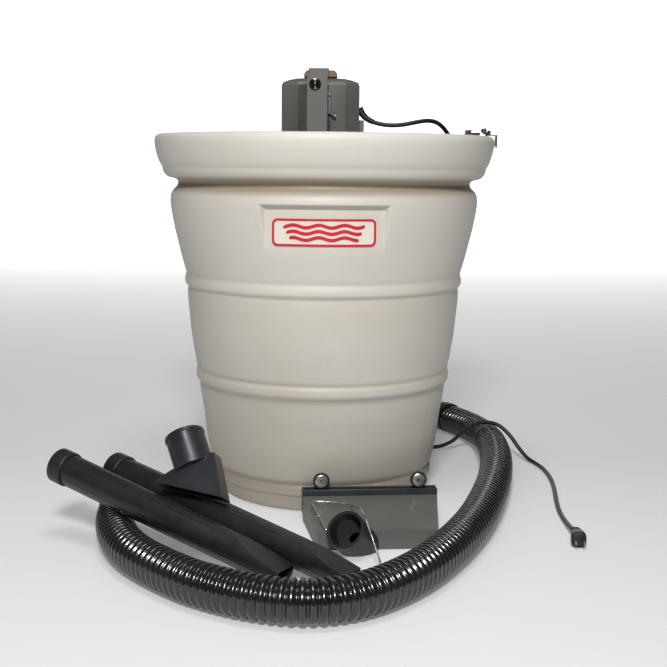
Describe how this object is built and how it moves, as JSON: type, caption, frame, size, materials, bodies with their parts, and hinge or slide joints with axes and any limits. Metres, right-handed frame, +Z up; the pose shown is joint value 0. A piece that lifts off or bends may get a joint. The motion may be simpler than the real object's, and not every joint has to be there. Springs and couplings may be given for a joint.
{
  "type": "drum dust collector",
  "caption": "Tall tapered plastic drum dust collector with flared collar, motor head on a latched lid, filter and float, corrugated hose, wands and floor nozzles.",
  "frame": {"origin": "floor point under the tank's axis, on the flat underside of the tank", "axes": "+Z up along the tank's axis, -Y to the front with the badge, +X to the right"},
  "size_m": [0.8912, 1.2101, 0.7735],
  "materials": {
    "tank": "satin",
    "badge": "gloss",
    "rubber": "matte",
    "lid_plastic": "satin",
    "black_plastic": "satin",
    "zinc": "zinc plated",
    "blower_steel": "plain",
    "alloy": "cast",
    "iron": "laminated",
    "brass": "plain",
    "head_plastic": "satin paint",
    "brown_cap": "matt",
    "chrome": "polished",
    "gloss_black": "gloss",
    "switch_steel": "plain",
    "lead_rubber": "satin",
    "copper": "plain",
    "float_plastic": "satin",
    "filter_paper": "pleated",
    "lever_black": "gloss",
    "hose_plastic": "semi-gloss",
    "wand_plastic": "satin",
    "nozzle_grey": "satin",
    "channel_metal": "satin",
    "caster": "polished, black tyre",
    "wire": "bright wire"
  },
  "bodies": {
    "tank": {"drum": "tank", "badge_plate": "badge", "hose": "hose_plastic", "hose_cuff_tank": "black_plastic", "hose_cuff_tool": "black_plastic", "power_cord": "lead_rubber", "plug": "lead_rubber", "plug_blade_left": "brass", "plug_blade_right": "brass"},
    "lid_assembly": {"lid": "lid_plastic", "lid_gasket": "rubber", "inlet_port": "black_plastic", "inlet_elbow": "black_plastic", "lid_screw": "zinc", "fan_housing": "blower_steel", "motor_base_ring": "black_plastic", "end_bracket": "alloy", "lower_bearing": "blower_steel", "motor_field": "iron", "upper_bush_plate": "alloy", "brush_holder_left": "brass", "brush_holder_right": "brass", "head_cover": "head_plastic", "top_vent_cap": "brown_cap", "top_strap": "head_plastic", "button_bezel": "chrome", "toggle_plate": "switch_steel", "toggle_screw_upper": "chrome", "toggle_screw_lower": "chrome", "strain_relief": "lead_rubber", "filter_cage": "black_plastic", "cartridge_filter": "filter_paper", "filter_nut": "black_plastic", "latch_base_right": "chrome", "latch_base_rear": "chrome"},
    "rotor": {"motor_shaft": "blower_steel", "impeller": "alloy", "cooling_fan": "black_plastic", "armature": "copper", "commutator": "copper"},
    "button": {"reset_button": "gloss_black"},
    "toggle": {"toggle_lever": "chrome"},
    "float": {"float_ball": "float_plastic"},
    "latch_right": {"latch_lever_right": "lever_black", "latch_hook_right": "chrome"},
    "latch_rear": {"latch_lever_rear": "lever_black", "latch_hook_rear": "chrome"},
    "front_wand": {"wand_front": "wand_plastic"},
    "rear_wand": {"wand_rear": "wand_plastic"},
    "fan_nozzle": {"utility_nozzle": "wand_plastic"},
    "wet_nozzle": {"nozzle_body": "nozzle_grey", "mouth_channel": "channel_metal", "squeegee_strip": "rubber", "caster_pin_left": "chrome", "caster_pin_right": "chrome", "nozzle_neck": "black_plastic"},
    "caster_left": {"caster_wheel_left": "caster"},
    "caster_right": {"caster_wheel_right": "caster"},
    "bail": {"wire_bail": "wire"}
  },
  "joints": [
    {"name": "lid_lift", "type": "slide", "parent": "tank", "child": "lid_assembly", "axis": [0, 0, 1], "range_m": [0, 0.3], "deforming": ["power_cord"]},
    {"name": "rotor_spin", "type": "hinge", "parent": "lid_assembly", "child": "rotor", "pos_m": [-0.007, 0, 0.65], "axis": [0, 0, 1], "continuous": true},
    {"name": "button_press", "type": "slide", "parent": "lid_assembly", "child": "button", "axis": [0, 1, 0], "range_m": [0, 0.003], "stiffness_N_per_m": 600, "springref_m": -0.002},
    {"name": "toggle_throw", "type": "hinge", "parent": "lid_assembly", "child": "toggle", "pos_m": [0.0009, -0.07, 0.697], "axis": [0, -1, 0], "range_deg": [0, 50]},
    {"name": "float_rise", "type": "slide", "parent": "lid_assembly", "child": "float", "axis": [0, 0, 1], "range_m": [0, 0.068]},
    {"name": "latch_right_open", "type": "hinge", "parent": "lid_assembly", "child": "latch_right", "pos_m": [0.262, 0, 0.664], "axis": [0, -1, 0], "range_deg": [0, 110]},
    {"name": "latch_rear_open", "type": "hinge", "parent": "lid_assembly", "child": "latch_rear", "pos_m": [0, 0.262, 0.664], "axis": [1, 0, 0], "range_deg": [0, 110]},
    {"name": "front_wand_lift", "type": "slide", "parent": "tank", "child": "front_wand", "axis": [0, -0.6, 0.8], "range_m": [0, 0.15]},
    {"name": "rear_wand_lift", "type": "slide", "parent": "tank", "child": "rear_wand", "axis": [0, 0, 1], "range_m": [0, 0.15]},
    {"name": "fan_nozzle_lift", "type": "slide", "parent": "rear_wand", "child": "fan_nozzle", "axis": [0, 0, 1], "range_m": [0, 0.15]},
    {"name": "wet_nozzle_lift", "type": "slide", "parent": "tank", "child": "wet_nozzle", "axis": [0, -0.2, 0.9798], "range_m": [0, 0.15]},
    {"name": "caster_left_spin", "type": "hinge", "parent": "wet_nozzle", "child": "caster_left", "pos_m": [0.00025, -0.23004, 0.068], "axis": [-0.0872, 0.9962, 0], "continuous": true},
    {"name": "caster_right_spin", "type": "hinge", "parent": "wet_nozzle", "child": "caster_right", "pos_m": [0.16761, -0.2154, 0.068], "axis": [-0.0872, 0.9962, 0], "continuous": true},
    {"name": "bail_swing", "type": "hinge", "parent": "wet_nozzle", "child": "bail", "pos_m": [0.009, -0.396, 0.0365], "axis": [0.7033, -0.6731, -0.2287], "range_deg": [0, 25]}
  ]
}
